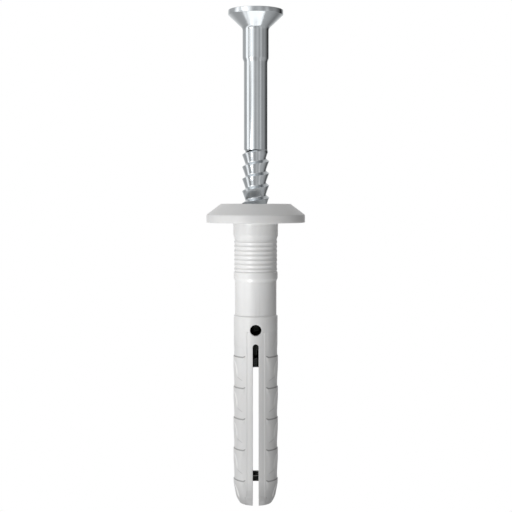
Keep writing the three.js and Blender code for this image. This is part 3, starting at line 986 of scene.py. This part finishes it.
def nylon_material(finish):
    """Light grey moulded nylon: satin, with spark-eroded grain and faint flow clouds, painted shade
    in creases, on ledges, in the slot and towards the tip, and painted highlights on the barbs'
    flats.
    """
    material, tree, shader, place = start_material("light_grey_nylon")
    neck = bpy.context.scene.anchor_neck
    ridges_top = -neck.ring_length - neck.ring_taper
    grain = place_group(tree, grain_group())
    feed(tree, grain, Vector=place, Grain=finish.grain)
    flow = add_node(tree, "ShaderNodeMapping")
    feed(tree, flow, Vector=place, Scale=(1, 1, 0.12))
    streaks = noise(tree, flow.outputs["Vector"], 900.0, 3.0)
    clouds = maths(tree, "MULTIPLY", grain.outputs["Cloud"], streaks)
    base = mix_colour(tree, clouds, tuple(finish.colour), tuple(finish.shade))
    shade_masks = place_group(tree, shade_mask_group())
    feed(tree, shade_masks, Onset=0.014, Gain=26.0, Reach=finish.reach)
    feed(tree, shade_masks, Shelter_Onset=0.46, Shelter_Full=0.16)
    split = add_node(tree, "ShaderNodeSeparateXYZ")
    feed(tree, split, Vector=place)
    below_neck = ease(tree, split.outputs["Z"], *CREASE_SHADE_ZONE)
    # Painted shade on the barbs' ledges and steps, and a painted highlight on each barb's side flat.
    ledge, facet_highlight = barb_shade_and_highlight_lines(tree, split)
    # Painted shade: the nylon is darkened towards the tip.
    nose_shade_share = ease(tree, split.outputs["Z"], *NOSE_SHADE_ZONE)
    nose_shaded = mix_colour(tree, nose_shade_share, base, tuple(finish.nose))
    # Painted highlight along the edge of each barb's side flat.
    facet_highlighted = mix_colour(tree, facet_highlight, nose_shaded, tuple(finish.edge))
    # Painted shade in tight inside corners below the neck and along the barbs' ledges and steps.
    hollow_shade = maths(tree, "MULTIPLY", shade_masks.outputs["Hollow"], 0.4)
    crease_share = maths(tree, "MULTIPLY", hollow_shade, below_neck)
    lines = maths(tree, "MAXIMUM", crease_share, ledge)
    crease_shaded = mix_colour(tree, lines, facet_highlighted, tuple(finish.crease_shade))
    # Painted shade where the surface sees little of the room, such as inside the slot, and on the
    # tear web.
    sheltered_shade = maths(tree, "MAXIMUM", shade_masks.outputs["Shelter"], web_shade_mask(tree, split))
    shaded = mix_colour(tree, sheltered_shade, crease_shaded, tuple(finish.dark))
    feed(tree, shader, Base_Color=shaded)
    spread_out = maths(tree, "MULTIPLY", grain.outputs["Height"], 0.16)
    rough = maths(tree, "ADD", spread_out, finish.roughness - 0.08)
    feed(tree, shader, Roughness=rough)
    bump = add_node(tree, "ShaderNodeBump")
    feed(tree, bump, Height=grain.outputs["Height"], Distance=finish.grain_depth, Strength=1.0)
    along = maths(tree, "SUBTRACT", ridges_top - GROOVE_SHIFT, split.outputs["Z"])
    turns = maths(tree, "MULTIPLY", along, 2 * math.pi / neck.groove_pitch)
    wave = maths(tree, "COSINE", turns, 0.0)
    dip = maths(tree, "MULTIPLY", wave, -0.5)
    last = neck.groove_pitch * neck.groove_count
    started = ease(tree, along, 0.0, 0.1 * MM)
    ended = ease(tree, along, last, last - 0.1 * MM)
    inside = maths(tree, "MULTIPLY", started, ended)
    ridges = maths(tree, "MULTIPLY", dip, inside)
    grooved = add_node(tree, "ShaderNodeBump")
    feed(tree, grooved, Height=ridges, Distance=finish.groove_shading, Strength=1.0)
    tree.links.new(bump.outputs["Normal"], grooved.inputs["Normal"])
    feed(tree, shader, Normal=grooved.outputs["Normal"])
    shader.inputs["IOR"].default_value = 1.53
    shader.inputs["Specular IOR Level"].default_value = 0.8
    shader.inputs["Subsurface Weight"].default_value = 0.15
    shader.inputs["Subsurface Radius"].default_value = (1, 0.9, 0.8)
    shader.inputs["Subsurface Scale"].default_value = 0.4 * MM
    return material


def zinc_material(finish):
    """Bright zinc plating: bluish and glossy, with drawn lines along the shank and plating grain, and
    painted shade in the thread's roots and where the plug shelters the screw."""
    material, tree, shader, place = start_material("bright_zinc")
    grain = place_group(tree, grain_group())
    feed(tree, grain, Vector=place, Grain=finish.grain)
    drawn = add_node(tree, "ShaderNodeMapping")
    feed(tree, drawn, Vector=place, Scale=(1, 1, 0.03))
    lines = noise(tree, drawn.outputs["Vector"], 5000.0, 2.0)
    shade_masks = place_group(tree, shade_mask_group())
    feed(tree, shade_masks, Onset=0.02, Gain=12.0, Reach=finish.reach)
    feed(tree, shade_masks, Shelter_Onset=0.66, Shelter_Full=0.42)
    clouded = maths(tree, "MULTIPLY", grain.outputs["Cloud"], 0.35)
    # Random plating clouds, and painted shade in the thread's roots.
    cloud_and_root_shade = maths(tree, "MAXIMUM", clouded, shade_masks.outputs["Hollow"])
    base = mix_colour(tree, cloud_and_root_shade, tuple(finish.colour), tuple(finish.shade))
    # Painted shade where the plug shelters the screw.
    shaded = mix_colour(tree, shade_masks.outputs["Shelter"], base, tuple(finish.dark))
    feed(tree, shader, Base_Color=shaded)
    line_share = maths(tree, "MULTIPLY", lines, 0.12)
    cloud_share = maths(tree, "MULTIPLY", cloud_and_root_shade, 0.12)
    both = maths(tree, "ADD", line_share, cloud_share)
    rough = maths(tree, "ADD", both, finish.roughness - 0.1)
    feed(tree, shader, Roughness=rough)
    relief = maths(tree, "ADD", grain.outputs["Height"], lines)
    bump = add_node(tree, "ShaderNodeBump")
    feed(tree, bump, Height=relief, Distance=finish.grain_depth, Strength=0.6)
    feed(tree, shader, Normal=bump.outputs["Normal"])
    shader.inputs["Metallic"].default_value = 1.0
    return material


# ---------------------------------------------------------------- studio


# The room round the anchor is plain but for soft boxes and dark flags: how many degrees each
# stands to the right of the camera's side, its half width, its elevation and its half height,
# and the brightness that it adds in its middle. It fades evenly from there to its edges.
ROOM_BRIGHTNESS = 0.43
SOFT_BOXES = (
    (-82, 18, -10, 80, 1.35),  # far left
    (-32, 22, -10, 80, 1.15),  # main one, left of the camera
    (16, 14, -10, 80, 0.2),  # faint one, right of the camera
    (48, 12, -10, 80, 0.35),  # right
    (180, 45, 0, 100, 0.65),  # behind the anchor
    (180, 60, 90, 80, 0.4),  # above it and behind
    (-60, 80, 90, 100, 0.55),  # above it on the left
    (-50, 90, -30, 40, -0.2),  # dark flag, low in front
    (130, 45, 0, 60, -0.5),  # dark flag, behind on the right
    (70, 60, 90, 120, -0.45),  # dark flag, above on the right
)


def soft_box(tree, turn, rise, azimuth, half_width, elevation, half_height, brightness):
    """The brightness that a soft box, or a dark flag, adds in a direction."""
    aside = maths(tree, "SUBTRACT", turn, math.radians(azimuth))
    wrapped = add_node(tree, "ShaderNodeMath", operation="WRAP")
    feed(tree, wrapped, _0=aside, _1=math.pi, _2=-math.pi)
    off_turn = maths(tree, "ABSOLUTE", wrapped.outputs[0], 0.0)
    above = maths(tree, "SUBTRACT", rise, math.radians(elevation))
    off_rise = maths(tree, "ABSOLUTE", above, 0.0)
    across = ease(tree, off_turn, math.radians(half_width), 0.0)
    upright = ease(tree, off_rise, math.radians(half_height), 0.0)
    shape = maths(tree, "MULTIPLY", across, upright)
    return maths(tree, "MULTIPLY", shape, brightness)


def ease(tree, value, low, high):
    """0 at low, 1 at high, and straight between."""
    node = add_node(tree, "ShaderNodeMapRange")
    feed(tree, node, _0=value, _1=low, _2=high)
    return node.outputs[0]


def make_world():
    """A pure white backdrop, and round the anchor a room of soft boxes and dark flags."""
    world = bpy.data.worlds.new("white_studio")
    bpy.context.scene.world = world
    world.use_nodes = True
    tree = world.node_tree
    tree.nodes.clear()
    where = add_node(tree, "ShaderNodeTexCoord")
    split = add_node(tree, "ShaderNodeSeparateXYZ")
    feed(tree, split, Vector=where.outputs["Generated"])
    x, y, z = split.outputs
    back = maths(tree, "MULTIPLY", y, -1.0)
    turn = maths(tree, "ARCTAN2", x, back)
    rise = maths(tree, "ARCSINE", z, 0.0)
    lit = ROOM_BRIGHTNESS
    for box in SOFT_BOXES:
        lit = maths(tree, "ADD", lit, soft_box(tree, turn, rise, *box))
    lit = maths(tree, "MAXIMUM", lit, 0.0)
    around = add_node(tree, "ShaderNodeBackground")
    feed(tree, around, Color=lit, Strength=1.0)
    backdrop = add_node(tree, "ShaderNodeBackground")
    feed(tree, backdrop, Color=(1, 1, 1, 1), Strength=1.0)
    seen = add_node(tree, "ShaderNodeLightPath")
    blend = add_node(tree, "ShaderNodeMixShader")
    feed(tree, blend, _0=seen.outputs["Is Camera Ray"], _1=around.outputs[0], _2=backdrop.outputs[0])
    output = add_node(tree, "ShaderNodeOutputWorld")
    tree.links.new(blend.outputs[0], output.inputs["Surface"])


def floor_material(studio):
    """White light table: it looks as bright as the backdrop, and lights what hangs over it."""
    material = bpy.data.materials.new("light_table")
    material.use_nodes = True
    tree = material.node_tree
    tree.nodes.remove(tree.nodes["Principled BSDF"])
    plain = add_node(tree, "ShaderNodeEmission")
    feed(tree, plain, Color=(1, 1, 1, 1), Strength=1.0)
    glow = add_node(tree, "ShaderNodeEmission")
    feed(tree, glow, Color=(1, 1, 1, 1), Strength=studio.floor_glow)
    seen = add_node(tree, "ShaderNodeLightPath")
    blend = add_node(tree, "ShaderNodeMixShader")
    feed(tree, blend, _0=seen.outputs["Is Camera Ray"], _1=glow.outputs[0], _2=plain.outputs[0])
    tree.links.new(blend.outputs[0], tree.nodes["Material Output"].inputs["Surface"])
    return material


def make_floor(studio):
    bm = bmesh.new()
    bmesh.ops.create_circle(bm, cap_ends=True, segments=96, radius=studio.floor_radius)
    bmesh.ops.translate(bm, verts=bm.verts, vec=(0, 0, LEG_LOW.z - studio.floor_depth))
    floor = new_piece("studio_floor", bm, floor_material(studio))
    floor.visible_diffuse = False  # it is there to be mirrored in the screw


def add_lamp(data, azimuth, elevation, distance, aim_height):
    """Stands a light round the anchor, by degrees to the right of the camera's side and degrees
    up, so that it faces a height on the axis."""
    lamp = bpy.data.objects.new(data.name, data)
    bpy.context.scene.collection.objects.link(lamp)
    turn, rise = math.radians(azimuth), math.radians(elevation)
    level = math.cos(rise)
    out = Vector((math.sin(turn) * level, -math.cos(turn) * level, math.sin(rise)))
    lamp.location = Vector((0, 0, aim_height)) + out * distance
    lamp.rotation_mode = "QUATERNION"
    lamp.rotation_quaternion = (-out).to_track_quat("-Z", "Y")
    lamp.visible_camera = False


def add_area_light(name, azimuth, elevation, power):
    """A soft square light that faces the anchor's neck."""
    data = bpy.data.lights.new(name, "AREA")
    data.size = 50 * MM
    data.energy = power
    add_lamp(data, azimuth, elevation, 120 * MM, -6 * MM)


def add_neck_light(power):
    """A narrow light from the lower left that only reaches the neck and the collar."""
    data = bpy.data.lights.new("neck_light", "SPOT")
    data.energy = power
    data.spot_size = math.radians(4.6)
    data.spot_blend = 1.0
    data.shadow_soft_size = 8 * MM
    add_lamp(data, -36, -42, 300 * MM, -3 * MM)


def make_camera(studio):
    data = bpy.data.cameras.new("anchor_camera")
    data.sensor_width = 36
    data.lens = studio.lens
    data.clip_start = 0.01
    data.clip_end = 20
    camera = bpy.data.objects.new("anchor_camera", data)
    bpy.context.scene.collection.objects.link(camera)
    camera.location = (studio.aside, -studio.distance, studio.eye_height)
    camera.rotation_euler = (math.pi / 2 - studio.aim_down, 0, 0)
    bpy.context.scene.camera = camera


# ---------------------------------------------------------------- add-on


class ANCHOR_OT_studio(bpy.types.Operator):
    """Sets up the camera, the soft lights, the backdrop and the floor"""

    bl_idname = "anchor.studio"
    bl_label = "Studio"

    def execute(self, context):
        studio = context.scene.anchor_studio
        make_camera(studio)
        make_world()
        make_floor(studio)
        add_neck_light(studio.neck_power)
        add_area_light("key_light", -45, -8, studio.key_power)
        add_area_light("low_light", -75, -45, studio.low_power)
        add_area_light("top_light", -50, 30, studio.top_power)
        context.scene.view_settings.view_transform = "Standard"
        return {"FINISHED"}


class ANCHOR_OT_plug_sleeve(bpy.types.Operator):
    """Models the plug's collar, grooved neck, shaft and the top of its expansion zone"""

    bl_idname = "anchor.plug_sleeve"
    bl_label = "Plug sleeve"

    def execute(self, context):
        make_sleeve(context.scene, nylon_once(context.scene))
        return {"FINISHED"}


class ANCHOR_OT_expansion_legs(bpy.types.Operator):
    """Models the plug's two barbed legs, which bend outward as the screw is driven"""

    bl_idname = "anchor.expansion_legs"
    bl_label = "Expansion legs"

    def execute(self, context):
        scene = context.scene
        nylon = nylon_once(scene)
        make_leg(scene, -1, "leg_left_shell", "expansion_leg_left", nylon)
        make_leg(scene, 1, "leg_right_shell", "expansion_leg_right", nylon)
        return {"FINISHED"}


class ANCHOR_OT_nail_screw(bpy.types.Operator):
    """Models the zinc-plated nail screw with its recess and wound thread"""

    bl_idname = "anchor.nail_screw"
    bl_label = "Nail screw"

    def execute(self, context):
        make_screw(context.scene, zinc_material(context.scene.anchor_zinc))
        return {"FINISHED"}


def nylon_once(scene):
    return bpy.data.materials.get("light_grey_nylon") or nylon_material(scene.anchor_nylon)


SETTINGS = {
    "anchor_collar": CollarSizes,
    "anchor_neck": NeckSizes,
    "anchor_legs": LegSizes,
    "anchor_screw": ScrewSizes,
    "anchor_nylon": NylonFinish,
    "anchor_zinc": ZincFinish,
    "anchor_studio": StudioSettings,
}
OPERATORS = (
    ANCHOR_OT_studio,
    ANCHOR_OT_plug_sleeve,
    ANCHOR_OT_expansion_legs,
    ANCHOR_OT_nail_screw,
)


class VIEW3D_PT_anchor(bpy.types.Panel):
    bl_label = "Wall anchor"
    bl_space_type = "VIEW_3D"
    bl_region_type = "UI"
    bl_category = "Anchor"

    def draw(self, context):
        for operator in OPERATORS:
            self.layout.operator(operator.bl_idname)
        for name, group in SETTINGS.items():
            box = self.layout.box()
            box.label(text=name.replace("anchor_", "").capitalize())
            for prop in group.__annotations__:
                box.prop(getattr(context.scene, name), prop)


def register():
    for group in SETTINGS.values():
        bpy.utils.register_class(group)
    for operator in OPERATORS:
        bpy.utils.register_class(operator)
    bpy.utils.register_class(VIEW3D_PT_anchor)
    for name, group in SETTINGS.items():
        setattr(bpy.types.Scene, name, bpy.props.PointerProperty(type=group))


def unregister():
    for name in SETTINGS:
        delattr(bpy.types.Scene, name)
    bpy.utils.unregister_class(VIEW3D_PT_anchor)
    for operator in reversed(OPERATORS):
        bpy.utils.unregister_class(operator)
    for group in reversed(SETTINGS.values()):
        bpy.utils.unregister_class(group)


def main():
    register()
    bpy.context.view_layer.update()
    bpy.ops.anchor.studio()
    bpy.ops.anchor.plug_sleeve()
    bpy.ops.anchor.expansion_legs()
    bpy.ops.anchor.nail_screw()


if __name__ == "__main__":
    main()
